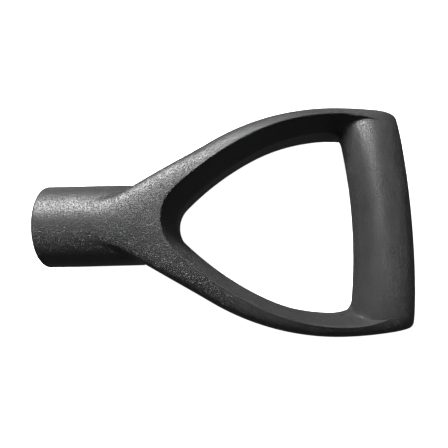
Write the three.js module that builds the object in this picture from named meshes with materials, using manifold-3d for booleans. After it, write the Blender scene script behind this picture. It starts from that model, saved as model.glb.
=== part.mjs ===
// D-grip end handle: a round socket for a 32 mm shaft, a forked throat, two arms and a cross grip.
// The moulding is hollow. A body carries the socket and the front half, a rear cover closes the back,
// and six self-tapping screws hold the two together. Millimetres, +Z is the front.
// The origin is the centre of the shaft stop, +X runs from the socket to the grip.
import * as THREE from 'three';
import { mergeVertices } from 'three/addons/utils/BufferGeometryUtils.js';
import Module from 'manifold-3d';

const wasm = await Module();
wasm.setup();

// ---- driving dimensions ----
const SHAFT_D = 32;
const SOCKET_FIT = 0.4;          // clearance on the diameter at the mouth
const SOCKET_TAPER = 0.3;        // loss of bore diameter at the stop
const SOCKET_DEPTH = 50;
const SOCKET_WALL = 4;
const STOP_THICKNESS = 4;
const RIM_RADIUS = 1.6;
const WALL = 2.8;                // shell thickness of the hollow part
const GAP = 0.3;                 // clearance between touching pieces
const SEAM = GAP / 2;            // each shell stops this far from the middle plane

const CROTCH_X = 13.8;           // where the hand opening starts on the middle plane
const OPENING_ARCS = [[14, 45], [146, 18], [88, 27]];   // radius and turn of the opening's side
const OPENING_END_RADIUS = 50;   // last stretch, running under the grip
const OPENING_OVERRUN = 6;       // how far that stretch runs past the grip's crest
const OPENING_MEETS_Y = 45;      // about where the opening's side reaches the grip

const FORK_START = -26.1;        // where the fork rises out of the socket
const FORK_HALF_WIDTH = 10.5;
const FORK_RADIUS = 38;
const ARM_ANGLE = 31.5;
const ARM_STRAIGHT = 43;
const SHOULDER_RADIUS = 118;
const END_RADIUS = 180;
const END_TURN = 13;

const GRIP_INNER_X = 102.4;
const GRIP_OUTER_X = 129.8;
const GRIP_CREST_X = 113;
const GRIP_INNER_BOW = 250;
const GRIP_OUTER_BOW = 440;
const GRIP_CORNER = 3;
const GRIP_HEIGHT = 15.3;        // half thickness in the middle of the grip
const THROAT_HEIGHT = 21;        // half thickness at the crotch
const FORK_DIP = 1.1;            // how far the fork starts below that height
const CROWN_CHANGE_X = 30;       // from here on the cross-section has the crown of the arms

// The two halves. lean is how far the opening's wall leans back at the crotch and at the grip, and edge
// is the radius of its edge. crown is the power of the crowned cross-section at the throat and along the
// arms, higher being flatter. fall is how late along the arms the height drops to that of the grip.
// corner is the radius of the opening's corner at the grip.
const FRONT = { lean: [5.2, 3.8], edge: 1.0, crown: [6, 4], fall: 1, corner: 4 };
const REAR = { lean: [0.7, 0.7], edge: 1.6, crown: [6, 10], fall: 7, corner: 7 };
const CORNER_FADE = 0.15;        // share of the grip's side at which that corner has run out
const CORNER_CUT = 1 - Math.SQRT1_2;

const SCREW = { shank: 1.75, head: 3.4, headHeight: 2.4, length: 15, seat: 6, tip: 2, recess: 0.5 };
const BOSS_RADIUS = 4;
const SLEEVE_RADIUS = 5;
const SCREW_PLACES = {
  throat: [15.5, 19.5],
  arm: [52, 42.2],
  corner: [113, 48.6],
};
const RIB_THICKNESS = 1.8;
const ARM_RIBS = [[34, 32.5, 35], [70, 47.5, 18], [92, 51, 5]];   // place and turn
const ARM_RIB_REACH = 16;
const GRIP_RIBS_Y = [9.5, 28];
const GRIP_RIB_REACH = 18;
const FIXING_HOLE = { x: -30, radius: 2.5, headRadius: 4.5, sink: 2 };
const BORE_CHAMFER = { wide: 1.8, deep: 0.8 };
const MARK = { x: 3.4, y: 0.9, radius: 3.4, width: 0.45, depth: 0.3 };

const BORE_R_MOUTH = (SHAFT_D + SOCKET_FIT) / 2;
const BORE_R_STOP = BORE_R_MOUTH - SOCKET_TAPER / 2;
const SOCKET_R = SHAFT_D / 2 + SOCKET_WALL;
const MOUTH_X = -SOCKET_DEPTH;
const RIDGE_X = CROTCH_X - FRONT.lean[0];
const OUTSIDE = 60;              // farther out than any surface of the handle
const SETTLE_STEPS = 8;          // rounds for points that are found by repeated correction

// ---- small helpers ----
const rad = THREE.MathUtils.degToRad;
const lerp = THREE.MathUtils.lerp;

// Walks along straight lines and arcs. Each step is { radius, turn } or { length }.
// Returns points with the heading there, close enough together for the given number of chords.
function walk(start, heading, steps) {
  const points = [{ x: start[0], y: start[1], heading }];
  for (const step of steps) {
    const from = points[points.length - 1];
    for (let i = 1; i <= step.chords; i += 1) {
      const share = i / step.chords;
      if (step.length) {
        points.push({
          x: from.x + Math.cos(from.heading) * step.length * share,
          y: from.y + Math.sin(from.heading) * step.length * share,
          heading: from.heading,
        });
      } else {
        const turn = rad(step.turn) * share;
        const side = Math.sign(step.turn);
        const centreX = from.x - Math.sin(from.heading) * step.radius * side;
        const centreY = from.y + Math.cos(from.heading) * step.radius * side;
        points.push({
          x: centreX + Math.sin(from.heading + turn) * step.radius * side,
          y: centreY - Math.cos(from.heading + turn) * step.radius * side,
          heading: from.heading + turn,
        });
      }
    }
  }
  return points;
}

// Distance from the middle plane at place x on a walked path.
function pathAt(path, x) {
  let i = 1;
  while (i < path.length - 1 && path[i].x < x) {
    i += 1;
  }
  const a = path[i - 1];
  const b = path[i];
  const share = THREE.MathUtils.clamp((x - a.x) / (b.x - a.x), 0, 1);
  return lerp(a.y, b.y, share);
}

// The path moved sideways, to its left for a positive offset.
function shifted(path, offset) {
  return path.map((p) => ({
    x: p.x - Math.sin(p.heading) * offset,
    y: p.y + Math.cos(p.heading) * offset,
    heading: p.heading,
  }));
}

// ---- plan curves of the upper half, y above zero ----
const OPENING_CHORDS = [7, 12, 14];
const OPENING_END_CHORDS = 12;

const openingEndTurn = (inset) => {
  const peak = walk([CROTCH_X, 0], Math.PI / 2, OPENING_ARCS.map(([radius, turn]) => (
    { radius, turn: -turn, chords: 1 })));
  const run = GRIP_CREST_X + OPENING_OVERRUN - peak[peak.length - 1].x;
  return THREE.MathUtils.radToDeg(Math.asin(run / (OPENING_END_RADIUS + inset)));
};

function openingPath(inset) {
  const steps = OPENING_ARCS.map(([radius, turn], i) => (
    { radius, turn: -turn, chords: OPENING_CHORDS[i] }));
  steps.push({
    radius: OPENING_END_RADIUS,
    turn: -openingEndTurn(inset),
    chords: OPENING_END_CHORDS,
  });
  return shifted(walk([CROTCH_X, 0], Math.PI / 2, steps), inset);
}

function outlinePath(inset) {
  const steps = [
    { radius: FORK_RADIUS, turn: ARM_ANGLE, chords: 8 },
    { length: ARM_STRAIGHT, chords: 14 },
    { radius: SHOULDER_RADIUS, turn: -ARM_ANGLE, chords: 20 },
    { radius: END_RADIUS, turn: -END_TURN, chords: 10 },
  ];
  return shifted(walk([FORK_START, FORK_HALF_WIDTH], 0, steps), -inset);
}

const bow = (radius, y) => radius - Math.sqrt(radius * radius - y * y);
const gripInnerX = (y, inset) => GRIP_INNER_X - bow(GRIP_INNER_BOW, y) + inset;
const gripOuterX = (y, inset) => GRIP_OUTER_X - bow(GRIP_OUTER_BOW, y) - inset;

// How far along the arms a place is, from 0 at the crotch's ridge to 1 at the grip's crest.
const armShare = (x) => THREE.MathUtils.clamp((x - RIDGE_X) / (GRIP_CREST_X - RIDGE_X), 0, 1);
const leanAt = (form, x) => lerp(form.lean[0], form.lean[1], armShare(x));

// Half thickness along the middle line.
const middleHeight = (form, x) => {
  const left = Math.max(0, (RIDGE_X - x) / (RIDGE_X - FORK_START));
  const throat = THROAT_HEIGHT - FORK_DIP * left * left;
  return lerp(throat, GRIP_HEIGHT, Math.pow(armShare(x), form.fall));
};

// Crown of the cross-section, for a share of the half width, and the round fall of the grip's sides.
const crown = (form, share, x) => {
  const change = THREE.MathUtils.smoothstep(x, FORK_START, CROWN_CHANGE_X);
  const power = lerp(form.crown[0], form.crown[1], change);
  return Math.pow(1 - Math.pow(THREE.MathUtils.clamp(share, 0, 1), power), 1 / power);
};
const roundFall = (share) => Math.sqrt(Math.max(0, 1 - share * share));

// Shares from 0 to 1 that crowd towards 1, where the surface turns down.
const crowdedShares = (count, power) => Array.from({ length: count + 1 }, (_, i) => (
  Math.pow(Math.sin((Math.PI / 2) * (i / count)), power)));

// ---- closed solids from points and faces ----
// Points in the same cell of a fine grid are one point. The offset keeps round sizes off its borders.
const WELD_GRID = 2000;
const WELD_OFFSET = 0.137;

class Skin {
  constructor() {
    this.index = new Map();
    this.points = [];
    this.faces = [];
  }

  point(x, y, z) {
    const key = [x, y, z].map((v) => Math.round(v * WELD_GRID + WELD_OFFSET)).join();
    if (!this.index.has(key)) {
      this.index.set(key, this.points.length);
      this.points.push([x, y, z]);
    }
    return this.index.get(key);
  }

  face(a, b, c) {
    if (a !== b && b !== c && c !== a) {
      this.faces.push([a, b, c]);
    }
  }

  // Quads between rows of equal length.
  sheet(rows) {
    for (let i = 1; i < rows.length; i += 1) {
      for (let j = 1; j < rows[i].length; j += 1) {
        this.face(rows[i - 1][j - 1], rows[i][j - 1], rows[i][j]);
        this.face(rows[i - 1][j - 1], rows[i][j], rows[i - 1][j]);
      }
    }
  }

  solid() {
    const vertProperties = new Float32Array(this.points.flat());
    const triVerts = new Uint32Array(this.faces.flat());
    return new wasm.Manifold(new wasm.Mesh({ numProp: 3, vertProperties, triVerts }));
  }
}

function solidOf(geometry) {
  const bare = geometry.index ? geometry.clone() : geometry;
  bare.deleteAttribute('normal');
  bare.deleteAttribute('uv');
  const merged = mergeVertices(bare, 1e-4);
  return new wasm.Manifold(new wasm.Mesh({
    numProp: 3,
    vertProperties: new Float32Array(merged.attributes.position.array),
    triVerts: new Uint32Array(merged.index.array),
  }));
}

const box = (x0, x1, y0, y1, z0, z1) => solidOf(
  new THREE.BoxGeometry(x1 - x0, y1 - y0, z1 - z0)
    .translate((x0 + x1) / 2, (y0 + y1) / 2, (z0 + z1) / 2));

// Turned shape from [radius, height] pairs that start and end on the axis, standing along Z.
const turnedZ = (profile, segments) => solidOf(
  new THREE.LatheGeometry(profile.map(([r, h]) => new THREE.Vector2(r, h)), segments).rotateX(Math.PI / 2));
// The same lying along X, with the heights as X places.
const turnedX = (profile, segments) => solidOf(
  new THREE.LatheGeometry(profile.map(([r, h]) => new THREE.Vector2(r, h)), segments).rotateZ(-Math.PI / 2));

const rod = (x, y, z0, z1, radius, segments = 28) => turnedZ(
  [[0, z0], [radius, z0], [radius, z1], [0, z1]], segments).translate([x, y, 0]);

// ---- one half of the fork, arms and grip, as a solid standing on the middle plane ----
const FACE_SHARES = crowdedShares(8, 0.6);
const GRIP_SHARES = crowdedShares(8, 1);
const EDGE_CHORDS = 3;
const EDGE_LIMIT = 0.45;         // most of a low wall's height that its rounded edge may take
const GRIP_ROWS = 11;
const GRIP_ROW_CROWDING = 1.5;   // rows crowd towards the rounded corner
const THROAT_STEP = 2.6;

// The plan of one half: opening, outline and corners, shrunk into the wall by the inset.
function planOf(form, inset) {
  const opening = openingPath(inset);
  const outline = outlinePath(inset);
  const corner = form.corner + inset / 2;
  const meetY = pathAt(opening, gripInnerX(OPENING_MEETS_Y, inset));
  const meetX = gripInnerX(meetY, inset);
  const outerCorner = GRIP_CORNER - inset / 2;
  let tipX = gripOuterX(meetY, inset);
  for (let n = 0; n < SETTLE_STEPS; n += 1) {
    tipX = gripOuterX(pathAt(outline, tipX), inset);
  }
  const tipY = pathAt(outline, tipX);
  const rounded = (over) => {
    const past = THREE.MathUtils.clamp(over, 0, outerCorner);
    return outerCorner - Math.sqrt(outerCorner * outerCorner - past * past);
  };
  const cornerAt = (share) => corner * THREE.MathUtils.smoothstep(share, CORNER_FADE, 1);
  return {
    opening,
    meetY,
    cornerAt,
    width: (x) => pathAt(outline, x),
    openingY: (x) => pathAt(opening, x),
    arc: [0, 1, 2].map((i) => {
      const angle = (Math.PI / 4) * (i / 3);
      return { x: meetX - corner * (1 - Math.sin(angle)), y: meetY - corner * (1 - Math.cos(angle)) };
    }),
    // the grip's inner side, with the rounded corner below the arm's wall at wallY
    innerX: (y, wallY, share) => {
      const radius = cornerAt(share);
      const above = THREE.MathUtils.clamp(y - wallY + radius, 0, radius * Math.SQRT1_2);
      return gripInnerX(y, inset) + Math.sqrt(radius * radius - above * above) - radius;
    },
    outerX: (y) => gripOuterX(y, inset) - rounded(y - tipY + outerCorner),
    topY: (x) => pathAt(outline, x) - rounded(x - tipX + outerCorner),
    outerTip: { x: tipX - outerCorner * CORNER_CUT, y: tipY - outerCorner * CORNER_CUT },
  };
}

// The form is that of the front or the rear half, and inset shrinks the solid for a cavity.
function halfSkin(form, inset, startX) {
  const plan = planOf(form, inset);
  const skin = new Skin();
  const endWidth = plan.width(GRIP_CREST_X);
  const height = (x, y) => (middleHeight(form, x) - inset) * crown(form, y / plan.width(x), x);
  const ridgeY = (x) => plan.openingY(x) + leanAt(form, x);
  const gripHeight = (y, share) => height(GRIP_CREST_X, Math.min(y, endWidth)) * roundFall(share);
  const inwards = GRIP_SHARES.slice().reverse();
  const outlines = [];
  const holes = [];

  for (const side of [1, -1]) {
    const at = (x, y, z) => skin.point(x, y * side, SEAM + z);
    const lay = (rows) => skin.sheet(side > 0 ? rows : rows.map((row) => row.slice().reverse()));
    const rim = [];
    const hole = [];

    // From a ridge point straight out to the outline, over the crowned face.
    const faceRow = (x, fromY) => {
      const toY = plan.width(x);
      rim.push([x, toY]);
      return FACE_SHARES.map((share) => {
        const y = lerp(fromY, toY, share);
        return at(x, y, share === 1 ? 0 : height(x, y));
      });
    };

    // The wall of the opening from its foot up to the rounded edge of the ridge, then the face.
    const armRow = (foot, footZ, ridge) => {
      const ridgeZ = height(ridge.x, ridge.y);
      const run = Math.hypot(ridge.x - foot.x, ridge.y - foot.y);
      const rise = ridgeZ - footZ;
      const radius = Math.min(form.edge, rise * EDGE_LIMIT);
      const turn = Math.atan2(rise, run);
      const reach = run + radius * Math.tan(turn / 2);
      const along = run > 0 ? [(ridge.x - foot.x) / run, (ridge.y - foot.y) / run] : [0, 1];
      const row = [at(foot.x, foot.y, footZ)];
      for (let i = 0; i < EDGE_CHORDS; i += 1) {
        const angle = turn * (1 - i / EDGE_CHORDS);
        const out = reach - radius * Math.sin(angle);
        const down = radius * (1 - Math.cos(angle));
        row.push(at(foot.x + along[0] * out, foot.y + along[1] * out, ridgeZ - down));
      }
      const edgeX = foot.x + along[0] * reach;
      const edgeY = foot.y + along[1] * reach;
      return row.concat(faceRow(edgeX, edgeY));
    };

    // arms: from the crotch to the rounded corner of the opening
    const feet = plan.opening.filter((p) => p.x < plan.arc[0].x - 1);
    const arms = feet.map((p) => {
      hole.push([p.x, p.y]);
      const lean = leanAt(form, p.x);
      const ridge = { x: p.x - Math.sin(p.heading) * lean, y: p.y + Math.cos(p.heading) * lean };
      return armRow(p, 0, p === feet[0] ? { x: ridge.x, y: 0 } : ridge);
    });
    for (const p of plan.arc) {
      hole.push([p.x, p.y]);
      arms.push(armRow(p, 0, { x: p.x, y: ridgeY(p.x) }));
    }

    // arms: the wall rising out of the grip, until it meets the crest
    const seam = inwards.map((share) => {
      let x = GRIP_CREST_X;
      let wallY = plan.meetY;
      for (let n = 0; n < SETTLE_STEPS; n += 1) {
        const climb = Math.min(1, gripHeight(wallY, share) / height(x, ridgeY(x)));
        x = lerp(GRIP_CREST_X, gripInnerX(wallY, inset), share);
        wallY = lerp(plan.openingY(x), ridgeY(x), climb);
      }
      const y = wallY - plan.cornerAt(share) * CORNER_CUT;
      x = lerp(GRIP_CREST_X, plan.innerX(y, wallY, share), share);
      const z = share === 1 ? 0 : gripHeight(y, share);
      arms.push(armRow({ x, y }, z, { x, y: share > 0 ? ridgeY(x) : y }));
      return { x, y, z, wallY };
    });
    hole.push([seam[0].x, seam[0].y]);

    // throat: straight rows from the middle line out to the fork's edge
    const apexX = plan.opening[0].x - leanAt(form, plan.opening[0].x);
    const throatRim = [];
    const rows = Math.max(2, Math.round((apexX - startX) / THROAT_STEP));
    const throat = Array.from({ length: rows }, (_, i) => {
      const row = faceRow(lerp(startX, apexX, i / rows), 0);
      throatRim.push(rim.pop());
      return row;
    });
    throat.push(arms[0].slice(-FACE_SHARES.length));
    rim.unshift(...throatRim);
    lay(throat);
    lay(arms);

    // outer corner: the end of the arm falling away over the outer side of the grip
    const crest = seam[seam.length - 1];
    const rightX = (share) => (share === 1 ? plan.outerTip.x : plan.outerX(rightY(share)));
    const rightY = (share) => lerp(crest.y, plan.outerTip.y, share);
    const leftY = (share) => lerp(crest.y, endWidth, share);
    const topX = (share) => lerp(GRIP_CREST_X, plan.outerTip.x, share);
    const topY = (share) => (share === 1 ? plan.outerTip.y : plan.topY(topX(share)));
    const lowX = (share) => lerp(GRIP_CREST_X, plan.outerX(crest.y), share);
    const corner = GRIP_SHARES.map((out) => FACE_SHARES.map((up) => {
      const x = lerp(GRIP_CREST_X, rightX(up), out) + lerp(lowX(out), topX(out), up)
        - lerp(GRIP_CREST_X, lerp(lowX(1), topX(1), up), out);
      const y = lerp(leftY(up), rightY(up), out) + lerp(crest.y, topY(out), up)
        - lerp(crest.y, lerp(leftY(1), topY(1), out), up);
      const open = out < 1 && up < 1;
      return at(x, y, open ? gripHeight(leftY(up), out) : 0);
    }));
    corner[0] = arms[arms.length - 1].slice(-FACE_SHARES.length);
    lay(corner);
    rim.push(...GRIP_SHARES.slice(1).map((out) => [topX(out), topY(out)]));
    rim.push(...FACE_SHARES.slice(0, -1).reverse().map((up) => [rightX(up), rightY(up)]));

    // grip: from the seam with the arm to the middle
    const grip = [seam.map((p) => at(p.x, p.y, p.z)).concat(corner.slice(1).map((row) => row[0]))];
    for (let r = 1; r <= GRIP_ROWS; r += 1) {
      const part = 1 - Math.pow(r / GRIP_ROWS, GRIP_ROW_CROWDING);
      const innerX = (i) => plan.innerX(seam[i].y * part, seam[i].wallY, inwards[i]);
      const inner = inwards.map((share, i) => {
        const y = seam[i].y * part;
        const x = lerp(GRIP_CREST_X, innerX(i), share);
        return at(x, y, share === 1 ? 0 : gripHeight(y, share));
      });
      const y = crest.y * part;
      const outer = GRIP_SHARES.slice(1).map((share) => (
        at(lerp(GRIP_CREST_X, plan.outerX(y), share), y, share === 1 ? 0 : gripHeight(y, share))));
      grip.push(inner.concat(outer));
      hole.push([innerX(0), seam[0].y * part]);
      rim.push([plan.outerX(y), y]);
    }
    lay(grip);
    outlines.push(rim.map(([x, y]) => [x, y * side]));
    holes.push(hole.map(([x, y]) => [x, y * side]));
  }

  // flat end across the fork
  const [left, right] = [1, -1].map((side) => FACE_SHARES.map((share) => {
    const y = plan.width(startX) * share;
    return skin.point(startX, y * side, SEAM + (share === 1 ? 0 : height(startX, y)));
  }));
  const foot = skin.point(startX, 0, SEAM);
  for (let j = 1; j < FACE_SHARES.length; j += 1) {
    skin.face(foot, left[j - 1], left[j]);
    skin.face(foot, right[j], right[j - 1]);
  }

  // flat face on the middle plane, around the opening
  const ring = [...outlines[0], ...outlines[1].slice(0, -1).reverse(), [startX, 0]];
  const gap = [...holes[0], ...holes[1].slice(1, -1).reverse()];
  const flat = (list) => list.map(([x, y]) => new THREE.Vector2(x, y));
  const spots = [...ring, ...gap].map(([x, y]) => skin.point(x, y, SEAM));
  for (const [a, b, c] of THREE.ShapeUtils.triangulateShape(flat(ring), [flat(gap)])) {
    skin.face(spots[a], spots[c], spots[b]);
  }
  return skin;
}

const half = (form, inset, startX) => halfSkin(form, inset, startX).solid();
const mirrorRear = (solid) => solid.mirror([0, 0, 1]);

// ---- socket ----
function socketTube() {
  const rim = [0, 1, 2, 3, 4].map((i) => {
    const angle = (Math.PI / 2) * (i / 4);
    return [
      SOCKET_R - RIM_RADIUS * (1 - Math.sin(angle)),
      MOUTH_X + RIM_RADIUS * (1 - Math.cos(angle)),
    ];
  });
  return turnedX([[0, MOUTH_X], ...rim, [SOCKET_R, STOP_THICKNESS], [0, STOP_THICKNESS]], 72);
}

function shaftBore() {
  return turnedX([
    [0, MOUTH_X - 1],
    [BORE_R_MOUTH + BORE_CHAMFER.wide, MOUTH_X - 1],
    [BORE_R_MOUTH, MOUTH_X + BORE_CHAMFER.deep],
    [BORE_R_STOP, 0],
    [0, 0],
  ], 72);
}

// Countersunk hole through the back of the socket, for a screw into the shaft.
function fixingHole() {
  const { radius, headRadius, sink } = FIXING_HOLE;
  return turnedZ([
    [0, -SOCKET_R - sink],
    [2 * headRadius - radius, -SOCKET_R - sink],
    [radius, -SOCKET_R + sink],
    [radius, -SOCKET_R / 2],
    [0, -SOCKET_R / 2],
  ], 28).translate([FIXING_HOLE.x, 0, 0]);
}

// Shallow ring in the front of the throat, as an ejector pin leaves it.
function witnessMark() {
  const top = THROAT_HEIGHT + 2;
  const floor = middleHeight(FRONT, MARK.x) + SEAM - MARK.depth;
  const inner = MARK.radius - MARK.width / 2;
  const outer = MARK.radius + MARK.width / 2;
  return turnedZ([[inner, floor], [outer, floor], [outer, top], [inner, top], [inner, floor]], 40)
    .translate([MARK.x, MARK.y, 0]);
}

// ---- screws ----
const screwSpots = Object.entries(SCREW_PLACES).flatMap(([name, [x, y]]) => [
  { name: `screw_${name}_left`, x, y },
  { name: `screw_${name}_right`, x, y: -y },
]);
const HEAD_TOP = -SCREW.seat - GAP;
const SHANK_END = HEAD_TOP + SCREW.length;

function screwSolid(spot) {
  const back = HEAD_TOP - SCREW.headHeight;
  const round = SCREW.headHeight * 0.4;
  const body = turnedZ([
    [0, back],
    [SCREW.head - round, back],
    [SCREW.head, back + round],
    [SCREW.head, HEAD_TOP],
    [SCREW.shank, HEAD_TOP],
    [SCREW.shank, SHANK_END - SCREW.tip],
    [SCREW.shank * 0.35, SHANK_END],
    [0, SHANK_END],
  ], 24);
  const slotDepth = back + SCREW.headHeight * 0.55;
  const long = SCREW.head * 0.55;
  const thin = SCREW.recess;
  const cross = box(-long, long, -thin, thin, back - 1, slotDepth)
    .add(box(-thin, thin, -long, long, back - 1, slotDepth));
  return body.subtract(cross).translate([spot.x, spot.y, 0]);
}

// ---- body: socket, front shell, ribs and screw posts ----
const ribBox = ([x, y, angle, reach]) => box(
  -RIB_THICKNESS / 2, RIB_THICKNESS / 2, -reach, reach, SEAM + 1, THROAT_HEIGHT)
  .rotate([0, 0, angle]).translate([x, y, 0]);

const ribPlaces = () => {
  const middleX = (GRIP_INNER_X + GRIP_OUTER_X) / 2;
  return [1, -1].flatMap((side) => [
    ...ARM_RIBS.map(([x, y, angle]) => [x, y * side, angle * side, ARM_RIB_REACH]),
    ...GRIP_RIBS_Y.map((y) => [middleX, y * side, 90, GRIP_RIB_REACH]),
  ]);
};

function bodySolid() {
  const front = half(FRONT, 0, FORK_START);
  const rear = mirrorRear(half(REAR, 0, FORK_START)).translate([0, 0, SEAM + GAP]);
  const throatBox = box(FORK_START - 1, STOP_THICKNESS, -OUTSIDE, OUTSIDE, -OUTSIDE, 1);
  const rearThroat = rear.intersect(throatBox);
  const cavity = half(FRONT, WALL, STOP_THICKNESS).translate([0, 0, -GAP]);
  const core = half(FRONT, WALL / 2, STOP_THICKNESS - 1);
  let inside = ribBox(ribPlaces()[0]);
  for (const place of ribPlaces().slice(1)) {
    inside = inside.add(ribBox(place));
  }
  for (const spot of screwSpots) {
    inside = inside.add(rod(spot.x, spot.y, GAP, THROAT_HEIGHT, BOSS_RADIUS));
  }
  let body = front.add(rearThroat).add(socketTube()).subtract(cavity).add(inside.intersect(core));
  for (const spot of screwSpots) {
    body = body.subtract(rod(spot.x, spot.y, -1, SHANK_END + GAP, SCREW.shank + GAP, 20));
  }
  return body.subtract(shaftBore()).subtract(fixingHole()).subtract(witnessMark());
}

// ---- rear cover: back shell with the screw sleeves ----
function coverSolid() {
  const startX = STOP_THICKNESS + GAP;
  const shell = mirrorRear(half(REAR, 0, startX));
  const cavity = mirrorRear(half(REAR, WALL, startX + WALL)).translate([0, 0, GAP]);
  const core = mirrorRear(half(REAR, WALL / 2, startX + WALL / 2));
  let sleeves = rod(screwSpots[0].x, screwSpots[0].y, -THROAT_HEIGHT, -GAP, SLEEVE_RADIUS);
  for (const spot of screwSpots.slice(1)) {
    sleeves = sleeves.add(rod(spot.x, spot.y, -THROAT_HEIGHT, -GAP, SLEEVE_RADIUS));
  }
  let cover = shell.subtract(cavity).add(sleeves.intersect(core));
  for (const spot of screwSpots) {
    const sink = rod(spot.x, spot.y, -OUTSIDE, -SCREW.seat, SCREW.head + GAP, 32);
    const hole = rod(spot.x, spot.y, -SCREW.seat - 1, 1, SCREW.shank + GAP, 20);
    cover = cover.subtract(sink.add(hole));
  }
  return cover;
}

// ---- scene graph ----
const plastic = () => new THREE.MeshStandardMaterial({ color: 0x1c1c1d, roughness: 0.55, metalness: 0 });
const zinc = () => new THREE.MeshStandardMaterial({ color: 0xb9bcc0, roughness: 0.35, metalness: 1 });

function meshOf(name, solid, material) {
  const { numProp, vertProperties, triVerts } = solid.getMesh();
  const geometry = new THREE.BufferGeometry();
  const corners = new Float32Array(triVerts.length * 3);
  triVerts.forEach((vertex, i) => {
    for (let k = 0; k < 3; k += 1) {
      corners[i * 3 + k] = vertProperties[vertex * numProp + k];
    }
  });
  geometry.setAttribute('position', new THREE.BufferAttribute(corners, 3));
  geometry.computeVertexNormals();
  const mesh = new THREE.Mesh(geometry, material);
  mesh.name = name;
  return mesh;
}

const handle = new THREE.Group();
handle.name = 'd_grip_handle';
handle.add(meshOf('body', bodySolid(), plastic()));
handle.add(meshOf('rear_cover', coverSolid(), plastic()));
for (const spot of screwSpots) {
  handle.add(meshOf(spot.name, screwSolid(spot), zinc()));
}

export default handle;
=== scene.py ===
import math
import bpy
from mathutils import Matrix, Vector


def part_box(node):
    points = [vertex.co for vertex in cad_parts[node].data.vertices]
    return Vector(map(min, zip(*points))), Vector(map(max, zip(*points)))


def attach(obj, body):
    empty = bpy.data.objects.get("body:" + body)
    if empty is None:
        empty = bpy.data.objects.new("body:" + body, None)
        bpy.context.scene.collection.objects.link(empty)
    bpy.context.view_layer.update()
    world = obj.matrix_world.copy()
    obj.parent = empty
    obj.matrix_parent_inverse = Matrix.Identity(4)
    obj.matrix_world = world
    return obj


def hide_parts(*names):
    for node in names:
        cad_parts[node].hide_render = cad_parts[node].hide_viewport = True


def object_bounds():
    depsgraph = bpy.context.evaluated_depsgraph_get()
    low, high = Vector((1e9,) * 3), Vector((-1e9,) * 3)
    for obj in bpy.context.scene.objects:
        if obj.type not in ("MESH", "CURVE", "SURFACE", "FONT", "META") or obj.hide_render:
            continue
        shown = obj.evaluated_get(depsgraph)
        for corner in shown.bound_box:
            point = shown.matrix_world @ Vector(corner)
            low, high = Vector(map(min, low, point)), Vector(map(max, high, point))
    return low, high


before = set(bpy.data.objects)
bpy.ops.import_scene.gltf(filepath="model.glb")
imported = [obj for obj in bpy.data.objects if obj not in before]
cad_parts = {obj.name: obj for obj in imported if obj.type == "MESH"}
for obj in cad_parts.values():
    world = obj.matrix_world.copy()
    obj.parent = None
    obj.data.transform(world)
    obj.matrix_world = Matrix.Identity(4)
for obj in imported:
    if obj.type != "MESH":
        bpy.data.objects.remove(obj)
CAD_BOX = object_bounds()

from types import SimpleNamespace

import bmesh
import bpy
import numpy as np
from mathutils import Matrix, Vector
from mathutils.geometry import tessellate_polygon

# D-grip end handle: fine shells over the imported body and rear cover, threaded screws, grained black
# plastic, and a plain studio. Shapes are worked out in millimetres and turned into metres at the end.
# +X runs from the socket to the grip, +Y across the handle and +Z out of its front.
MM = 0.001
BODY_LOW, BODY_HIGH = (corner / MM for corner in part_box("body"))

# ---- driving dimensions, in millimetres ----
MOUTH_X = BODY_LOW.x
GRIP_OUTER_X = BODY_HIGH.x
SOCKET_R = 20.0
BORE_R_MOUTH = 16.2
BORE_R_STOP = 16.05
BORE_CHAMFER = 0.8
RIM_RADIUS = 1.6
STOP_THICKNESS = 4.0
STOP_RING = 0.6                       # share of the stop's radius at which its face is divided
CRISP = 0.1                           # narrow band that keeps an edge of the bore crisp

CROTCH_X = 13.8                       # where the hand opening starts on the middle plane
OPENING_ARCS = [(14, 45), (146, 18), (88, 27)]
OPENING_END_RADIUS = 50.0
OPENING_OVERRUN = 6.0
OPENING_MEETS_Y = 45.0

FORK_START = -26.1
FORK_HALF_WIDTH = 10.5
FORK_RADIUS = 38.0
ARM_ANGLE = 31.5
ARM_STRAIGHT = 43.0
SHOULDER_RADIUS = 118.0
END_RADIUS = 180.0
END_TURN = 13.0

GRIP_INNER_X = 102.4
GRIP_CREST_X = 113.0
GRIP_INNER_BOW = 250.0
GRIP_OUTER_BOW = 440.0
GRIP_CORNER = 3.0
GRIP_HEIGHT = 15.3
THROAT_HEIGHT = 21.0
FORK_DIP = 1.1
CROWN_CHANGE_X = 30.0                 # from here on the cross-section has the crown of the arms

# The two halves. lean: how far the opening's wall leans back at the crotch and at the grip. edge: its
# edge radius. crown: power of the cross-section at the throat and along the arms, higher being flatter.
# dome: share of the height by which the face has fallen at the sides, at the throat and along the arms.
# fall: how late along the arms the height drops to that of the grip. corner: the opening's at the grip.
FRONT = SimpleNamespace(lean=(5.2, 3.8), edge=1.0, crown=(12, 5), dome=(0.15, 0.06), fall=1, corner=4)
REAR = SimpleNamespace(lean=(0.7, 0.7), edge=1.6, crown=(6, 10), dome=(0, 0), fall=7, corner=7)
RIDGE_X = CROTCH_X - FRONT.lean[0]

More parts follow.
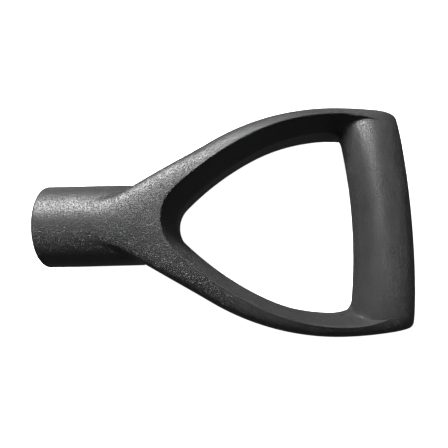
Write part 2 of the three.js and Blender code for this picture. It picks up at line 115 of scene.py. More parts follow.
CORNER_FADE = 0.15                    # share of the grip's side at which the corner has run out
CORNER_LEAD = 0.5                     # from the last plain row of the arm to the start of the corner
LIP = 0.2                             # edge radius of the shells where they part
LIP_ANGLES = (0, math.pi / 4, math.pi / 2)
LIP_BEND = 0.3 * LIP                  # depth of the middle of the rounded lip
LIP_FADE = 8 * LIP                    # height above the seam over which the socket end's lip grows
PARTING = 0.08                        # visible gap between body and cover
FILLET = 0.8                          # reach of the soft blend between fork and socket
TUBE_END = (-3.0, 4.0)                # where the socket's outside sinks into the fork
TUBE_SINK = 3.0
FORK_FADE = (10.0, 2.5)               # length and depth of the fork's run-out over the socket
GAP = 0.3                             # clearance around the screws
SCREW = SimpleNamespace(radius=1.75, core=1.3, head=3.4, head_height=2.4, length=15.0, seat=6.0, tip=2.5)
SCREW_ROUND = 1.3                     # rounding of the head
SCREW_EDGE = SimpleNamespace(rise=0.2, step=0.15, foot=0.2)    # under the head, where the shank starts
SCREW_POINT = SimpleNamespace(past=0.3, power=0.7)    # the point aims past the end, so it stays blunt
THREAD_PITCH = 1.4
THREAD_START = 1.0
RECESS = SimpleNamespace(reach=1.9, half=0.42, depth=1.4, taper=0.5, past=0.5)
SCREW_PLACES = {"throat": (15.5, 19.5), "arm": (52.0, 42.2), "corner": (113.0, 48.6)}
FIXING_HOLE = SimpleNamespace(x=-30.0, radius=2.5, head_radius=4.5, sink=2.0)
OUTSIDE = 60.0                        # farther out than any surface of the handle
PAST_SEAM = 1.0                       # how far the holes are cut past the parting plane
MARK = SimpleNamespace(x=3.4, y=0.9, radius=3.4, groove=0.07, floor=0.05, width=0.4)
MARK_REACH = MARK.radius + 3 * MARK.width

# ---- how finely the surfaces are divided ----
CHORD = 0.15
ROW_STEP = 0.9
MARK_STEP = 0.16
MARK_COLUMNS = 30
FACE_COLUMNS = 30
WALL_COLUMNS = 6
EDGE_COLUMNS = 6
GRIP_COLUMNS = 26
GRIP_ROWS = 54
CORNER_ROWS = 8
RIM_STEPS = 8
BORE_STEPS = 7
TURN_STEPS = 48
HEAD_STEPS = 7
THREAD_STEPS = 10                     # rows of the screw for each turn of its thread
EDGE_LIMIT = 0.45                     # most of a low wall's height that its rounded edge may take
SETTLE_STEPS = 12                     # rounds in which a value that depends on itself settles
WELD = 0.0015                         # points this close are joined
SLIVER = 0.0001                       # edges this short are dissolved


# ---- small helpers ----
def lerp(a, b, share):
    return a + (b - a) * share


def smoothstep(x, low, high):
    share = np.clip((x - low) / (high - low), 0, 1)
    return share * share * (3 - 2 * share)


def smooth_max(a, b, reach):
    near = np.clip(1 - np.abs(a - b) / reach, 0, 1)
    return np.maximum(a, b) + near * near * reach / 4


def walk(start, heading, steps):
    """Points along arcs (radius, turn in degrees) and straights (None, length): x, y and heading."""
    path = [(start[0], start[1], heading)]
    for radius, amount in steps:
        x0, y0, h0 = path[-1]
        if radius is None:
            count = max(1, round(amount / CHORD))
            run = np.arange(1, count + 1) / count * amount
            path += [(x0 + math.cos(h0) * s, y0 + math.sin(h0) * s, h0) for s in run]
            continue
        turn = math.radians(amount)
        side = math.copysign(1, turn)
        count = max(2, round(abs(turn) * radius / CHORD))
        centre_x = x0 - math.sin(h0) * radius * side
        centre_y = y0 + math.cos(h0) * radius * side
        for h in h0 + np.arange(1, count + 1) / count * turn:
            x = centre_x + math.sin(h) * radius * side
            y = centre_y - math.cos(h) * radius * side
            path.append((x, y, h))
    return np.array(path)


def spaced(path, step):
    """Points of the path about one step apart along it, first and last included."""
    length = np.concatenate([[0], np.cumsum(np.hypot(*np.diff(path[:, :2], axis=0).T))])
    places = np.linspace(0, length[-1], max(2, round(length[-1] / step) + 1))
    return np.column_stack([np.interp(places, length, column) for column in path.T])


# ---- plan curves of the upper half, y above zero ----
def opening_path():
    arcs = [(radius, -turn) for radius, turn in OPENING_ARCS]
    start = (CROTCH_X, 0)
    peak = walk(start, math.pi / 2, arcs)[-1]
    run = GRIP_CREST_X + OPENING_OVERRUN - peak[0]
    end_turn = math.degrees(math.asin(run / OPENING_END_RADIUS))
    return walk(start, math.pi / 2, arcs + [(OPENING_END_RADIUS, -end_turn)])


def outline_path():
    steps = [
        (FORK_RADIUS, ARM_ANGLE),
        (None, ARM_STRAIGHT),
        (SHOULDER_RADIUS, -ARM_ANGLE),
        (END_RADIUS, -END_TURN),
    ]
    return walk((FORK_START, FORK_HALF_WIDTH), 0, steps)


def bow(radius, y):
    return radius - np.sqrt(radius * radius - y * y)


def grip_inner_x(y):
    return GRIP_INNER_X - bow(GRIP_INNER_BOW, y)


def grip_outer_x(y):
    return GRIP_OUTER_X - bow(GRIP_OUTER_BOW, y)


def plan_of(form):
    """The plan of the front or rear half, with its corners."""
    opening = opening_path()
    outline = outline_path()

    def opening_y(x):
        return np.interp(x, opening[:, 0], opening[:, 1])

    def width(x):
        return np.interp(x, outline[:, 0], outline[:, 1])

    meet_y = float(opening_y(grip_inner_x(OPENING_MEETS_Y)))
    meet_x = float(grip_inner_x(meet_y))
    tip_x = float(grip_outer_x(meet_y))
    for _ in range(SETTLE_STEPS):
        tip_x = float(grip_outer_x(width(tip_x)))
    tip_y = float(width(tip_x))
    cut_back = GRIP_CORNER * (1 - math.sqrt(0.5))

    def rounded(over):
        past = np.clip(over, 0, GRIP_CORNER)
        return GRIP_CORNER - np.sqrt(GRIP_CORNER**2 - past * past)

    def inner_x(y, wall_y, share):
        """The grip's inner side, with the rounded corner below the arm's wall at wall_y."""
        radius = form.corner * smoothstep(share, CORNER_FADE, 1)
        above = np.clip(y - wall_y + radius, 0, radius * math.sqrt(0.5))
        return grip_inner_x(y) + np.sqrt(radius * radius - above * above) - radius

    return SimpleNamespace(
        form=form,
        opening=opening,
        opening_y=opening_y,
        width=width,
        corner=form.corner,
        meet=(meet_x, meet_y),
        inner_x=inner_x,
        outer_x=lambda y: grip_outer_x(y) - rounded(y - tip_y + GRIP_CORNER),
        top_y=lambda x: width(x) - rounded(x - tip_x + GRIP_CORNER),
        outer_tip=(tip_x - cut_back, tip_y - cut_back),
    )


# ---- heights above the parting plane ----
def arm_share(x):
    """How far along the arms: 0 at the crotch's ridge, 1 at the grip's crest."""
    return np.clip((x - RIDGE_X) / (GRIP_CREST_X - RIDGE_X), 0, 1)


def lean_at(form, x):
    return lerp(form.lean[0], form.lean[1], arm_share(x))


def middle_height(form, x):
    left = np.clip((RIDGE_X - x) / (RIDGE_X - FORK_START), 0, None)
    run_out = np.clip((FORK_START - x) / FORK_FADE[0], 0, None)
    throat = THROAT_HEIGHT - FORK_DIP * left * left - FORK_FADE[1] * run_out * run_out
    return lerp(throat, GRIP_HEIGHT, arm_share(x) ** form.fall)


def crown_power(form, x):
    return lerp(form.crown[0], form.crown[1], smoothstep(x, FORK_START, CROWN_CHANGE_X))


def dome_share(form, x, share):
    """What the dome leaves of the height at a share of the way out to the side."""
    drop = lerp(form.dome[0], form.dome[1], smoothstep(x, FORK_START, CROWN_CHANGE_X))
    return 1 - drop * share * share


def height(plan, x, y):
    power = crown_power(plan.form, x)
    share = np.clip(y / plan.width(x), 0, 1)
    middle = middle_height(plan.form, x) * dome_share(plan.form, x, share)
    return middle * (1 - share**power) ** (1 / power)


def ridge_y(plan, x):
    return plan.opening_y(x) + lean_at(plan.form, x)


def grip_height(plan, y, share):
    fall = np.sqrt(np.clip(1 - share * share, 0, 1))
    return height(plan, GRIP_CREST_X, np.minimum(y, plan.width(GRIP_CREST_X))) * fall


# Shares from the middle or the ridge (0) to the side (1), close together over the ring mark, which
# ends at MARK_SHARE, and towards the side.
MARK_SHARE = 0.137
COLUMNS = np.concatenate([
    np.linspace(0, MARK_SHARE, MARK_COLUMNS, endpoint=False),
    np.linspace(MARK_SHARE, 1, FACE_COLUMNS + 1),
])
FACE_SHARES = np.sin(COLUMNS * math.pi / 2)
GRIP_SHARES = np.sin(np.linspace(0, math.pi / 2, GRIP_COLUMNS + 1))


def row_of(x, y, z):
    return np.column_stack(np.broadcast_arrays(x, y, z)).astype(float)


# ---- rows of one side of one half ----
def face_row(plan, x, from_y):
    """From the ridge straight out to the side over the crowned face."""
    y = lerp(from_y, plan.width(x), FACE_SHARES)
    return row_of(x, y, np.maximum(height(plan, x, y), LIP))


def arm_row(plan, foot, foot_z, ridge):
    """Up the opening's wall, round its edge, and out over the face."""
    ridge_z = float(height(plan, *ridge))
    run = math.hypot(ridge[0] - foot[0], ridge[1] - foot[1])
    rise = ridge_z - foot_z
    radius = min(plan.form.edge, rise * EDGE_LIMIT)
    turn = math.atan2(rise, run)
    reach = run + radius * math.tan(turn / 2)
    along = np.array([ridge[0] - foot[0], ridge[1] - foot[1]]) / run if run > 0 else np.array([0, 1])
    angles = turn * (1 - np.arange(EDGE_COLUMNS) / EDGE_COLUMNS)
    out = reach - radius * np.sin(angles)
    z = ridge_z - radius * (1 - np.cos(angles))
    climb = np.arange(WALL_COLUMNS) / WALL_COLUMNS
    out = np.concatenate([climb * out[0], out])
    z = np.concatenate([lerp(foot_z, z[0], climb), z])
    wall = row_of(foot[0] + along[0] * out, foot[1] + along[1] * out, z)
    edge = (foot[0] + along[0] * reach, foot[1] + along[1] * reach)
    return np.vstack([wall, face_row(plan, *edge)])


def arm_rows(plan):
    """Every row of the arm, and the seam along which its wall rises out of the grip."""
    meet_x, meet_y = plan.meet
    arc_x = meet_x - plan.corner
    feet = spaced(plan.opening[plan.opening[:, 0] < arc_x - CORNER_LEAD], ROW_STEP)
    rows = []
    for i, (x, y, h) in enumerate(feet):
        lean = float(lean_at(plan.form, x))
        ridge = (x - math.sin(h) * lean, y + math.cos(h) * lean if i else 0.0)
        rows.append(arm_row(plan, (x, y), LIP, ridge))
    for angle in np.linspace(0, math.pi / 4, CORNER_ROWS, endpoint=False):
        x = arc_x + plan.corner * math.sin(angle)
        y = meet_y - plan.corner * (1 - math.cos(angle))
        rows.append(arm_row(plan, (x, y), LIP, (x, float(ridge_y(plan, x)))))
    seam = []
    for share in GRIP_SHARES[::-1]:
        x, wall_y = GRIP_CREST_X, meet_y
        for _ in range(SETTLE_STEPS):
            climb = float(grip_height(plan, wall_y, share) / height(plan, x, ridge_y(plan, x)))
            climb = min(1.0, climb)
            x = lerp(GRIP_CREST_X, float(grip_inner_x(wall_y)), share)
            wall_y = lerp(float(plan.opening_y(x)), float(ridge_y(plan, x)), climb)
        y = wall_y - plan.corner * float(smoothstep(share, CORNER_FADE, 1)) * (1 - math.sqrt(0.5))
        x = lerp(GRIP_CREST_X, float(plan.inner_x(y, wall_y, share)), share)
        z = max(float(grip_height(plan, y, share)), LIP)
        seam.append((x, y, z, wall_y))
        ridge = (x, float(ridge_y(plan, x)) if share > 0 else y)
        rows.append(arm_row(plan, (x, y), z, ridge))
    return np.array(rows), np.array(seam)


def corner_rows(plan, last_row):
    """The end of the arm falling away over the outer side of the grip."""
    crest_y = last_row[0][1]
    end_y = last_row[-1][1]
    tip_x, tip_y = plan.outer_tip
    up = (last_row[:, 1] - crest_y) / (end_y - crest_y)
    low_end = float(plan.outer_x(crest_y))
    right_y = lerp(crest_y, tip_y, up)
    right_x = np.where(up < 1, plan.outer_x(right_y), tip_x)
    rows = []
    for out in GRIP_SHARES:
        top_x = lerp(GRIP_CREST_X, tip_x, out)
        top_y = tip_y if out == 1 else float(plan.top_y(top_x))
        low_x = lerp(GRIP_CREST_X, low_end, out)
        x = lerp(GRIP_CREST_X, right_x, out) + lerp(low_x, top_x, up)
        x = x - lerp(GRIP_CREST_X, lerp(low_end, tip_x, up), out)
        y = lerp(last_row[:, 1], right_y, out) + lerp(crest_y, top_y, up)
        y = y - lerp(crest_y, lerp(end_y, tip_y, out), up)
        z = np.where((up < 1) & (out < 1), grip_height(plan, last_row[:, 1], out), 0)
        rows.append(row_of(x, y, np.maximum(z, LIP)))
    rows[0] = last_row
    return np.array(rows)


def grip_rows(plan, seam, corner):
    """The grip, from the seam with the arm to the middle."""
    crest_y = seam[-1][1]
    rows = [np.vstack([seam[:, :3], corner[1:, 0]])]
    for part in 1 - np.arange(1, GRIP_ROWS + 1) / GRIP_ROWS:
        y = seam[:, 1] * part
        x = lerp(GRIP_CREST_X, plan.inner_x(y, seam[:, 3], GRIP_SHARES[::-1]), GRIP_SHARES[::-1])
        inner = row_of(x, y, np.maximum(grip_height(plan, y, GRIP_SHARES[::-1]), LIP))
        y = crest_y * part
        x = lerp(GRIP_CREST_X, plan.outer_x(y), GRIP_SHARES[1:])
        outer = row_of(x, y, np.maximum(grip_height(plan, y, GRIP_SHARES[1:]), LIP))
        rows.append(np.vstack([inner, outer]))
    return np.array(rows)


# ---- throat and socket: sections around the shaft's axis ----
def throat_row(plan, x, first_x, end_x):
    """From the middle line round to the side: fork and socket softly joined."""
    width = plan.width(x)
    middle = middle_height(plan.form, x)
    power = crown_power(plan.form, x)
    fork_y = width * FACE_SHARES
    own = np.arctan2(height(plan, x, fork_y), fork_y)
    even = (1 - COLUMNS) * math.pi / 2
    angle = lerp(even, own, smoothstep(x, first_x, end_x))
    cos, sin = np.abs(np.cos(angle)), np.abs(np.sin(angle))
    fork = ((cos / width) ** power + (sin / middle) ** power) ** (-1 / power)
    for _ in range(SETTLE_STEPS):
        domed = middle * dome_share(plan.form, x, np.clip(fork * cos / width, 0, 1))
        fork = ((cos / width) ** power + (sin / domed) ** power) ** (-1 / power)
    tube = SOCKET_R - TUBE_SINK * smoothstep(x, *TUBE_END)
    radius = smooth_max(tube, fork, FILLET)
    side = np.where(COLUMNS == 1, 0, radius * sin)
    return row_of(x, radius * np.where(COLUMNS == 0, 0, cos), side)


# ---- meshes ----
class Skin:
    """Collects grids and polygons, then welds them into one closed mesh."""

    def __init__(self):
        self.points = []
        self.faces = []

    def add(self, points):
        first = len(self.points)
        self.points.extend(map(tuple, points))
        return list(range(first, first + len(points)))

    def grid(self, rows):
        spots = [self.add(row) for row in rows]
        for a, b in zip(spots, spots[1:]):
            self.faces += [(a[j], a[j + 1], b[j + 1], b[j]) for j in range(len(a) - 1)]

    def polygon(self, points):
        self.faces.append(tuple(self.add(points)))

    def flat(self, loops):
        """A flat face with holes, from closed loops of points."""
        spots = [i for loop in loops for i in self.add(loop)]
        for triangle in tessellate_polygon([[Vector(p) for p in loop] for loop in loops]):
            self.faces.append(tuple(spots[i] for i in triangle))

    def mesh(self, name):
        mesh = bpy.data.meshes.new(name)
        mesh.from_pydata([[v * MM for v in p] for p in self.points], [], self.faces)
        shape = bmesh.new()
        shape.from_mesh(mesh)
        bmesh.ops.remove_doubles(shape, verts=shape.verts, dist=WELD * MM)
        bmesh.ops.dissolve_degenerate(shape, edges=shape.edges, dist=SLIVER * MM)
        bmesh.ops.recalc_face_normals(shape, faces=shape.faces)
        shape.to_mesh(mesh)
        shape.free()
        return mesh


def mirrored(rows, y=1, z=1):
    return np.asarray(rows) * np.array([1, y, z])


def offset_loop(loop, distance, closed=True):
    """A loop of points moved sideways in the plan, to its left."""
    if closed:
        along = np.roll(loop, -1, axis=0) - np.roll(loop, 1, axis=0)
    else:
        along = np.gradient(loop, axis=0)
        along[0] = along[-1] = 0
    length = np.maximum(np.hypot(along[:, 0], along[:, 1]), 1e-9)
    moved = loop.copy()
    moved[:, 0] -= along[:, 1] / length * distance
    moved[:, 1] += along[:, 0] / length * distance
    return moved


def half_skin(skin, form, z_sign):
    """Arms, corners and grip of one half on both sides, and its plan, first face row and plan loops."""
    plan = plan_of(form)
    arms, seam = arm_rows(plan)
    face = arms[:, WALL_COLUMNS + EDGE_COLUMNS:]
    corner = corner_rows(plan, face[-1])
    grip = grip_rows(plan, seam, corner)
    for side in (1, -1):
        for rows in (arms, corner, grip):
            skin.grid(mirrored(rows, side, z_sign))
    rim = np.vstack([arms[:, -1], corner[1:, -1], corner[-1, ::-1][1:], grip[1:, -1]])
    hole = np.vstack([arms[: len(arms) - GRIP_COLUMNS, 0], grip[1:, 0]])
    return plan, face[0], rim, hole


def parting_face(skin, start, rim, hole, z_sign):
    """Rounded lips and the flat face between the outline and the opening, z = 0 at the flat."""
    upper = np.vstack([start, rim])
    outline = np.vstack([upper, mirrored(upper[::-1][1:], -1)])
    ring = np.vstack([hole, mirrored(hole[::-1][1:-1], -1)])
    loops = []
    for loop, sign, closed in ((outline, -1, False), (ring, 1, True)):
        strips = []
        for angle in LIP_ANGLES:
            moved = offset_loop(loop, sign * LIP * (1 - math.cos(angle)), closed)
            moved[:, 2] = loop[:, 2] * (1 - math.sin(angle))
            strips.append(moved)
        if closed:
            strips = [np.vstack([strip, strip[:1]]) for strip in strips]
        skin.grid(mirrored(strips, 1, z_sign))
        loops.append(strips[-1][:-1] if closed else strips[-1])
    skin.flat([mirrored(loop, 1, z_sign) for loop in loops])


def ring_mark(points):
    """Lowers the front of the throat where an ejector pin left its round mark."""
    points = np.array(points)
    distance = np.hypot(points[:, 0] - MARK.x, points[:, 1] - MARK.y)
    groove = MARK.groove * np.exp(-(((distance - MARK.radius) / MARK.width) ** 2))
    floor = MARK.floor * (1 - smoothstep(distance, MARK.radius - MARK.width, MARK.radius + MARK.width))
    points[:, 2] -= np.where(points[:, 2] > SOCKET_R / 2, groove + floor, 0)
    return points


def throat_places(first_x, end_x):
    """Row places along the throat, closer together over the ring mark."""
    marks = [first_x, MARK.x - MARK_REACH, MARK.x + MARK_REACH, end_x]
    steps = [ROW_STEP, MARK_STEP, ROW_STEP]
    places = [first_x]
    for low, high, step in zip(marks, marks[1:], steps):
        count = max(1, round((high - low) / step))
        places += list(np.linspace(low, high, count + 1)[1:])
    return places


def body_mesh():
    skin = Skin()
    plan, first_face, rim, hole = half_skin(skin, FRONT, 1)
    apex_x = first_face[0][0]
    tube_x = MOUTH_X + RIM_RADIUS
    end_x = STOP_THICKNESS
    places = sorted({*throat_places(tube_x, apex_x)[:-1], end_x - LIP, end_x - LIP_BEND, end_x})
    rows = [throat_row(plan, x, FORK_START, apex_x) for x in places]
    for x, row in zip(places, rows):
        if x > end_x:
            row[-1][2] = LIP
    front = [*rows, first_face]
    for side in (1, -1):
        skin.grid([ring_mark(row) for row in mirrored(front, side)])
    rear_plan = plan_of(REAR)
    rear = [throat_row(rear_plan, x, FORK_START, apex_x) for x in places if x <= end_x]
    for row, shrink in zip(rear[-2:], (LIP_BEND, LIP)):
        fade = np.minimum(1, row[:, 2] / LIP_FADE)
        row_radius = np.hypot(row[:, 1], row[:, 2])
        row[:, 1:] *= (1 - shrink * fade / row_radius)[:, None]
    for side in (1, -1):
        skin.grid(mirrored(rear, side, -1))
    last = mirrored(rear[-1], 1, -1)
    skin.polygon(np.vstack([last[::-1], mirrored(last[1:], -1)]))
    open_rim = [row[-1] for x, row in zip(places, rows) if x >= end_x]
    parting_face(skin, np.array(open_rim), rim, hole, 1)
    socket_skin(skin, rows[0])
    return skin.mesh("body_shell")


def socket_skin(skin, outer_row):
    """The rounded mouth, the bore and the flat shaft stop, all round."""
    direction = outer_row[:, 1:] / SOCKET_R
    profile = []
    for angle in np.linspace(0, math.pi / 2, RIM_STEPS + 1):
        r = SOCKET_R - RIM_RADIUS * (1 - math.cos(angle))
        profile.append((r, MOUTH_X + RIM_RADIUS * (1 - math.sin(angle))))
    chamfer_end = MOUTH_X + BORE_CHAMFER
    profile += [
        (BORE_R_MOUTH + BORE_CHAMFER, MOUTH_X),
        (BORE_R_MOUTH + CRISP, chamfer_end - CRISP),
        (BORE_R_MOUTH, chamfer_end + 2 * CRISP),
    ]
    for share in np.linspace(0, 1, BORE_STEPS + 1):
        r = lerp(BORE_R_MOUTH, BORE_R_STOP, share)
        profile.append((r, lerp(chamfer_end + 4 * CRISP, -3 * CRISP, share)))
    profile += [
        (BORE_R_STOP, -CRISP),
        (BORE_R_STOP - CRISP, 0.0),
        (BORE_R_STOP * STOP_RING, 0.0),
        (0.0, 0.0),
    ]
    for side in (1, -1):
        for depth in (1, -1):
            rows = [row_of(x, direction[:, 0] * r, direction[:, 1] * r) for r, x in profile]
            skin.grid(mirrored(rows, side, depth))


def cover_mesh():
    skin = Skin()
    plan, first_face, rim, hole = half_skin(skin, REAR, -1)
    apex_x = first_face[0][0]
    start_x = STOP_THICKNESS + PARTING
    places = [start_x, start_x + LIP_BEND, start_x + LIP]
    count = max(2, round((apex_x - places[-1]) / ROW_STEP))
    places += list(np.linspace(places[-1], apex_x, count + 1)[1:-1])
    rows = [throat_row(plan, x, FORK_START, apex_x) for x in places]
    for row in rows:
        row[-1][2] = LIP
    for row, shrink in zip(rows, (LIP, LIP_BEND)):
        row_radius = np.hypot(row[:, 1], row[:, 2])
        row[:, 1:] *= (1 - shrink / row_radius)[:, None]
    for side in (1, -1):
        skin.grid(mirrored([*rows, first_face], side, -1))
    first = mirrored(rows[0], 1, -1)
    lips = [first[-1] * np.array([1, 1, 1 - math.sin(angle)]) for angle in LIP_ANGLES[1:]]
    side = np.vstack([first, lips])
    skin.polygon(np.vstack([side[::-1], mirrored(side[1:], -1)]))
    open_rim = [row[-1] for row in rows]
    parting_face(skin, np.array(open_rim), rim, hole, -1)
    mesh = skin.mesh("rear_cover_shell")
    mesh.transform(Matrix.Translation((0, 0, -PARTING * MM)))
    return mesh


# ---- turned shapes, holes and screws ----
TURN = np.linspace(0, 2 * math.pi, TURN_STEPS + 1)


def lathe(skin, profile, centre=(0.0, 0.0)):
    """A closed round shape along Z, from (radius, height) pairs that start and end on the axis."""
    x, y = centre
    skin.grid([row_of(x + np.cos(TURN) * r, y + np.sin(TURN) * r, z) for r, z in profile])


def cut(mesh, cutter):
    """The mesh with the cutter taken away."""
    base = bpy.data.objects.new("cut_base", mesh)
    tool = bpy.data.objects.new("cut_tool", cutter)
    for thing in (base, tool):
        bpy.context.scene.collection.objects.link(thing)
    step = base.modifiers.new("cut", "BOOLEAN")
    step.operation = "DIFFERENCE"
    step.solver = "MANIFOLD"
    step.object = tool
    graph = bpy.context.evaluated_depsgraph_get()
    made = bpy.data.meshes.new_from_object(base.evaluated_get(graph))
    made.name = mesh.name
    bpy.data.objects.remove(base)
    bpy.data.objects.remove(tool)
    return made


def screw_spots():
    for name, (x, y) in SCREW_PLACES.items():
        yield f"screw_{name}_left", (x, y)
        yield f"screw_{name}_right", (x, -y)


HOLE_R = SCREW.radius + GAP
HEAD_TOP = -SCREW.seat - GAP
SHANK_END = HEAD_TOP + SCREW.length


def body_holes():
    """Pilot holes of the screws, and the countersunk fixing hole in the back of the socket."""
    skin = Skin()
    end = SHANK_END + GAP
    for _, spot in screw_spots():
        lathe(skin, [(0, -PAST_SEAM), (HOLE_R, -PAST_SEAM), (HOLE_R, end), (0, end)], spot)
    hole = FIXING_HOLE
    wide = 2 * hole.head_radius - hole.radius
    lathe(skin, [
        (0, -SOCKET_R - hole.sink),
        (wide, -SOCKET_R - hole.sink),
        (hole.radius, -SOCKET_R + hole.sink),
        (hole.radius, -SOCKET_R / 2),
        (0, -SOCKET_R / 2),
    ], (hole.x, 0))
    return skin.mesh("body_holes")


def cover_holes():
    """Stepped holes for the screws and their sunk heads."""
    skin = Skin()
    wide = SCREW.head + GAP
    for _, spot in screw_spots():
        lathe(skin, [
            (0, -OUTSIDE),
            (wide, -OUTSIDE),
            (wide, -SCREW.seat),
            (HOLE_R, -SCREW.seat),
            (HOLE_R, PAST_SEAM),
            (0, PAST_SEAM),
        ], spot)
    return skin.mesh("cover_holes")


def recess_mesh():
    """Tapered cross, pressed into the screw's head."""
    skin = Skin()
    back = HEAD_TOP - SCREW.head_height
    loops = []
    levels = [(back - RECESS.past, 1 + RECESS.taper / 2), (back + RECESS.depth, RECESS.taper)]
    for z, scale in levels:
        reach = RECESS.reach * scale
        half = RECESS.half * (1 + scale) / 2
        corners = [(reach, -half), (reach, half), (half, half)]
        loop = []
        for turn in range(4):
            a = turn * math.pi / 2
            for x, y in corners:
                loop.append((x * math.cos(a) - y * math.sin(a), x * math.sin(a) + y * math.cos(a), z))
        loops.append(np.array(loop))
    skin.grid([np.vstack([loop, loop[:1]]) for loop in loops])
    for loop in loops:
        skin.flat([loop])
    return skin.mesh("cross_recess")


def screw_mesh():
    """Self-tapping screw with a rounded head and a cut thread that runs out into a point."""
    skin = Skin()
    back = HEAD_TOP - SCREW.head_height
    rim = SCREW.head - SCREW_ROUND
    profile = [(0, back), (rim / 2, back)]
    for t in np.linspace(0, math.pi / 2, HEAD_STEPS + 1):
        profile.append((rim + SCREW_ROUND * math.sin(t), back + SCREW_ROUND * (1 - math.cos(t))))
    profile += [
        (SCREW.head, HEAD_TOP - SCREW_EDGE.rise),
        (SCREW.head - SCREW_EDGE.step, HEAD_TOP),
        (SCREW.core + SCREW_EDGE.foot, HEAD_TOP),
    ]
    rows = [row_of(np.cos(TURN) * r, np.sin(TURN) * r, z) for r, z in profile]
    for z in np.arange(HEAD_TOP + SCREW_EDGE.step, SHANK_END, THREAD_PITCH / THREAD_STEPS):
        turn = np.mod((z - HEAD_TOP) / THREAD_PITCH - TURN / (2 * math.pi), 1)
        tooth = np.clip(1 - np.abs(turn - 0.5) * 4, 0, 1)
        tooth = tooth * smoothstep(z, HEAD_TOP, HEAD_TOP + THREAD_START)
        taper = np.clip((SHANK_END + SCREW_POINT.past - z) / SCREW.tip, 0, 1) ** SCREW_POINT.power
        radius = (SCREW.core + (SCREW.radius - SCREW.core) * tooth) * taper
        rows.append(row_of(np.cos(TURN) * radius, np.sin(TURN) * radius, z))
    rows.append(row_of(np.zeros_like(TURN), 0.0, SHANK_END))
    skin.grid(rows)
    return cut(skin.mesh("screw"), recess_mesh())


# ---- materials ----
PLASTIC_TINTS = [(0.010, 0.010, 0.0105, 1), (0.017, 0.017, 0.0175, 1)]
PLASTIC_ROUGHNESS = (0.36, 0.46)
FINE_GRAIN = SimpleNamespace(scale=2600, depth=0.00008)
COARSE_GRAIN = SimpleNamespace(scale=3200, depth=0.0003, start=0.5, end=0.85)
ZINC_TINTS = [(0.52, 0.53, 0.55, 1), (0.68, 0.69, 0.70, 1)]
ZINC_ROUGHNESS = (0.22, 0.42)


def node(tree, kind, **values):
    made = tree.nodes.new(kind)
    for name, value in values.items():
        if hasattr(made, name):
            setattr(made, name, value)
        else:
            made.inputs[name.replace("_", " ")].default_value = value
    return made


def plastic_material():
    """Black moulded plastic with a spark-eroded grain."""
    material = bpy.data.materials.new("grained_black_plastic")
    material.use_nodes = True
    tree = material.node_tree
    shader = tree.nodes["Principled BSDF"]
    shader.inputs["IOR"].default_value = 1.5
    place = node(tree, "ShaderNodeTexCoord")

    def noise(scale, detail, roughness):
        made = node(tree, "ShaderNodeTexNoise", Scale=scale, Detail=detail, Roughness=roughness)
        tree.links.new(place.outputs["Object"], made.inputs["Vector"])
        return made.outputs["Fac"]

    def ranged(value, low, high, start=0.3, end=0.7):
        made = node(tree, "ShaderNodeMapRange")
        made.inputs["From Min"].default_value = start
        made.inputs["From Max"].default_value = end
        made.inputs["To Min"].default_value = low
        made.inputs["To Max"].default_value = high
        tree.links.new(value, made.inputs["Value"])
        return made.outputs["Result"]

    tint = node(tree, "ShaderNodeMix", data_type="RGBA")
    tint.inputs["A"].default_value = PLASTIC_TINTS[0]
    tint.inputs["B"].default_value = PLASTIC_TINTS[1]
    tree.links.new(ranged(noise(60, 4, 0.6), 0, 1), tint.inputs["Factor"])
    tree.links.new(tint.outputs["Result"], shader.inputs["Base Color"])
    tree.links.new(ranged(noise(900, 3, 0.6), *PLASTIC_ROUGHNESS), shader.inputs["Roughness"])

    fine = node(tree, "ShaderNodeBump", Strength=1.0, Distance=FINE_GRAIN.depth)
    tree.links.new(noise(FINE_GRAIN.scale, 2, 0.6), fine.inputs["Height"])
    coarse = node(tree, "ShaderNodeBump", Strength=1.0, Distance=COARSE_GRAIN.depth)
    grains = ranged(noise(COARSE_GRAIN.scale, 0, 0.5), 0, 1, COARSE_GRAIN.start, COARSE_GRAIN.end)
    tree.links.new(grains, coarse.inputs["Height"])
    tree.links.new(fine.outputs["Normal"], coarse.inputs["Normal"])
    tree.links.new(coarse.outputs["Normal"], shader.inputs["Normal"])
    return material


def zinc_material():
    """Bright zinc with a faint turned grain."""
    material = bpy.data.materials.new("bright_zinc")
    material.use_nodes = True
    tree = material.node_tree
    shader = tree.nodes["Principled BSDF"]
    shader.inputs["Metallic"].default_value = 1.0
    place = node(tree, "ShaderNodeTexCoord")
    cloud = node(tree, "ShaderNodeTexNoise", Scale=900, Detail=3)
    tree.links.new(place.outputs["Object"], cloud.inputs["Vector"])
    tint = node(tree, "ShaderNodeMix", data_type="RGBA")
    tint.inputs["A"].default_value = ZINC_TINTS[0]
    tint.inputs["B"].default_value = ZINC_TINTS[1]
    tree.links.new(cloud.outputs["Fac"], tint.inputs["Factor"])
    tree.links.new(tint.outputs["Result"], shader.inputs["Base Color"])
    rough = node(tree, "ShaderNodeMapRange")
    rough.inputs["To Min"].default_value = ZINC_ROUGHNESS[0]
    rough.inputs["To Max"].default_value = ZINC_ROUGHNESS[1]
    tree.links.new(cloud.outputs["Fac"], rough.inputs["Value"])
    tree.links.new(rough.outputs["Result"], shader.inputs["Roughness"])
    return material


# ---- pieces ----
SHARP_ANGLE = math.radians(38)


def place_piece(name, mesh, material, slot, *nodes):
    mesh.materials.clear()
    mesh.materials.append(material)
    mesh.polygons.foreach_set("use_smooth", [True] * len(mesh.polygons))
    mesh.set_sharp_from_angle(angle=SHARP_ANGLE)
    piece = bpy.data.objects.new(name, mesh)
    bpy.context.scene.collection.objects.link(piece)
    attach(piece, "root")
    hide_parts(*nodes)


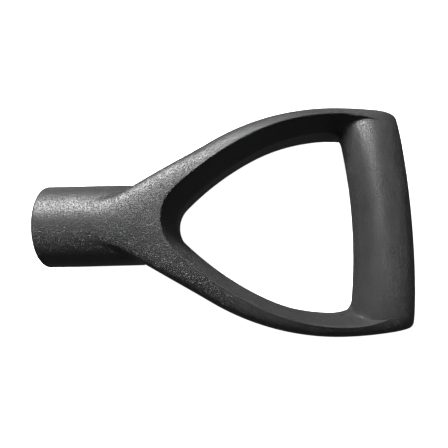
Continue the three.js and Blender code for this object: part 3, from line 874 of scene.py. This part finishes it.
# ---- camera, light and floor ----
CAMERA_PLACE = Vector((0.03538, -0.02554, 0.19076))
CAMERA_TARGET = Vector((0.03710, -0.00050, 0.0))
CAMERA_ROLL = math.radians(1.48)
CAMERA_LENS = 30.92
CAMERA_SENSOR = 36
CAMERA_NEAR = 0.005
WORLD_STRENGTH = 0.08
FLOOR_REACH = 3.0
FLOOR_GAP = 0.0002                    # between the floor and the lowest point of the handle


def facing(place, target, up_hint):
    """A turn that points -Z from place to target, with Y near up_hint."""
    back = (place - target).normalized()
    right = up_hint.cross(back).normalized()
    up = back.cross(right)
    turn = Matrix((right, up, back)).transposed().to_4x4()
    return Matrix.Translation(place) @ turn


def make_camera():
    data = bpy.data.cameras.new("camera")
    data.lens = CAMERA_LENS
    data.sensor_width = CAMERA_SENSOR
    data.clip_start = CAMERA_NEAR
    camera = bpy.data.objects.new("camera", data)
    bpy.context.scene.collection.objects.link(camera)
    up = Vector((math.sin(CAMERA_ROLL), math.cos(CAMERA_ROLL), 0))
    camera.matrix_world = facing(CAMERA_PLACE, CAMERA_TARGET, up)
    bpy.context.scene.camera = camera


def softbox(name, azimuth, off_axis, distance, size, radiance):
    """An area light aimed at the handle's middle: off_axis from +Z, towards azimuth (90 is +Y)."""
    a = math.radians(azimuth)
    t = math.radians(off_axis)
    direction = Vector((math.sin(t) * math.cos(a), math.sin(t) * math.sin(a), math.cos(t)))
    data = bpy.data.lights.new(name, "AREA")
    data.shape = "RECTANGLE"
    data.size, data.size_y = size
    data.energy = radiance * math.pi * size[0] * size[1]
    light = bpy.data.objects.new(name, data)
    bpy.context.scene.collection.objects.link(light)
    light.matrix_world = facing(CAMERA_TARGET + direction * distance, CAMERA_TARGET, Vector((0, 0.1, 1)))


def make_studio():
    softbox("key_light", azimuth=116, off_axis=56, distance=0.7, size=(0.40, 0.36), radiance=54)
    softbox("front_light", azimuth=90, off_axis=8, distance=0.9, size=(0.5, 0.5), radiance=0.4)
    softbox("fill_light", azimuth=245, off_axis=68, distance=0.9, size=(0.5, 0.3), radiance=0.9)
    world = bpy.data.worlds.new("studio")
    world.use_nodes = True
    world.node_tree.nodes["Background"].inputs["Color"].default_value = (1, 1, 1, 1)
    world.node_tree.nodes["Background"].inputs["Strength"].default_value = WORLD_STRENGTH
    bpy.context.scene.world = world
    bpy.context.scene.view_settings.view_transform = "Standard"


def make_floor():
    reach = FLOOR_REACH
    z = CAD_BOX[0].z - FLOOR_GAP
    mesh = bpy.data.meshes.new("floor")
    corners = [(-reach, -reach, z), (reach, -reach, z), (reach, reach, z), (-reach, reach, z)]
    mesh.from_pydata(corners, [], [(0, 1, 2, 3)])
    material = bpy.data.materials.new("pale_floor")
    material.use_nodes = True
    shader = material.node_tree.nodes["Principled BSDF"]
    shader.inputs["Base Color"].default_value = (0.9, 0.9, 0.9, 1)
    shader.inputs["Roughness"].default_value = 0.9
    shader.inputs["Emission Color"].default_value = (1, 1, 1, 1)
    shader.inputs["Emission Strength"].default_value = 1.0
    mesh.materials.append(material)
    floor = bpy.data.objects.new("floor", mesh)
    bpy.context.scene.collection.objects.link(floor)
    floor.visible_glossy = False
    floor.visible_diffuse = False


make_camera()
make_studio()
make_floor()
plastic = plastic_material()
zinc = zinc_material()
place_piece("body_shell", cut(body_mesh(), body_holes()), plastic, "black_plastic", "body")
place_piece("rear_cover_shell", cut(cover_mesh(), cover_holes()), plastic, "black_plastic", "rear_cover")
screw = screw_mesh()
for name, (x, y) in screw_spots():
    mesh = screw.copy()
    mesh.transform(Matrix.Translation((x * MM, y * MM, 0)))
    place_piece(f"{name}_threaded", mesh, zinc, "zinc_steel", name)
